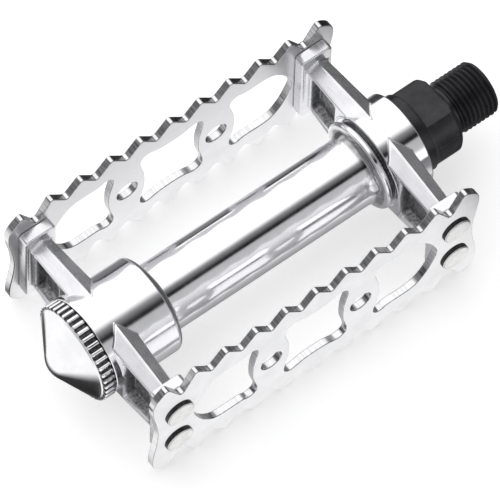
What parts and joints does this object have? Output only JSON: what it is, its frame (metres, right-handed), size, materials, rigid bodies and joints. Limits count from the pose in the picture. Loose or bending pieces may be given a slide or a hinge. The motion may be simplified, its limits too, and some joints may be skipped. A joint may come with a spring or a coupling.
{
  "type": "bicycle pedal",
  "caption": "Double-sided cage pedal: alloy body with toothed plates riveted on, turning on ball bearings round a threaded spindle, with a knurled dust cap.",
  "frame": {"origin": "pedal centre on the spindle axis, midway between the two cage plates and midway along them", "axes": "+X along the spindle axis towards the crank, +Z square to the tread plane (up at rest), -Y towards the front cage plate"},
  "size_m": [0.127, 0.0612, 0.0376],
  "materials": {
    "polished_casting": "polished die-cast alloy",
    "cage_plate": "satin plated steel",
    "rivet": "satin plated steel",
    "chromed_cap": "bright chrome",
    "black_spindle": "black oxide on forged steel, satin",
    "bearing_race": "hardened and ground",
    "bearing_ball": "lapped bearing steel",
    "zinc_hardware": "zinc plated",
    "seal_rubber": "matt moulded rubber"
  },
  "bodies": {
    "spindle_group": {"spindle": "black_spindle", "adjusting_cone": "bearing_race", "tabbed_lock_washer": "zinc_hardware", "lock_nut": "zinc_hardware"},
    "platform": {"pedal_body_casting": "polished_casting", "cage_plate_front": "cage_plate", "cage_plate_rear": "cage_plate", "rivet_front_outboard_upper": "rivet", "rivet_front_outboard_lower": "rivet", "rivet_front_inboard_upper": "rivet", "rivet_front_inboard_lower": "rivet", "rivet_rear_outboard_upper": "rivet", "rivet_rear_outboard_lower": "rivet", "rivet_rear_inboard_upper": "rivet", "rivet_rear_inboard_lower": "rivet", "bearing_cup_outboard": "bearing_race", "bearing_cup_inboard": "bearing_race", "dust_seal": "seal_rubber", "dust_cap": "chromed_cap"},
    "outboard_ball_ring": {"ball_outboard_01": "bearing_ball", "ball_outboard_02": "bearing_ball", "ball_outboard_03": "bearing_ball", "ball_outboard_04": "bearing_ball", "ball_outboard_05": "bearing_ball", "ball_outboard_06": "bearing_ball", "ball_outboard_07": "bearing_ball", "ball_outboard_08": "bearing_ball", "ball_outboard_09": "bearing_ball", "ball_outboard_10": "bearing_ball", "ball_outboard_11": "bearing_ball"},
    "inboard_ball_ring": {"ball_inboard_01": "bearing_ball", "ball_inboard_02": "bearing_ball", "ball_inboard_03": "bearing_ball", "ball_inboard_04": "bearing_ball", "ball_inboard_05": "bearing_ball", "ball_inboard_06": "bearing_ball", "ball_inboard_07": "bearing_ball", "ball_inboard_08": "bearing_ball", "ball_inboard_09": "bearing_ball", "ball_inboard_10": "bearing_ball", "ball_inboard_11": "bearing_ball"}
  },
  "joints": [
    {"name": "platform_spin", "type": "hinge", "parent": "spindle_group", "child": "platform", "pos_m": [0, 0, 0], "axis": [1, 0, 0], "continuous": true},
    {"name": "outboard_balls_roll", "type": "hinge", "parent": "spindle_group", "child": "outboard_ball_ring", "pos_m": [-0.0372, 0, 0], "axis": [1, 0, 0], "continuous": true},
    {"name": "inboard_balls_roll", "type": "hinge", "parent": "spindle_group", "child": "inboard_ball_ring", "pos_m": [0.0412, 0, 0], "axis": [1, 0, 0], "continuous": true}
  ],
  "couplings": [
    {"joint": "outboard_balls_roll", "follows": "platform_spin", "ratio": 0.596},
    {"joint": "inboard_balls_roll", "follows": "platform_spin", "ratio": 0.596}
  ]
}
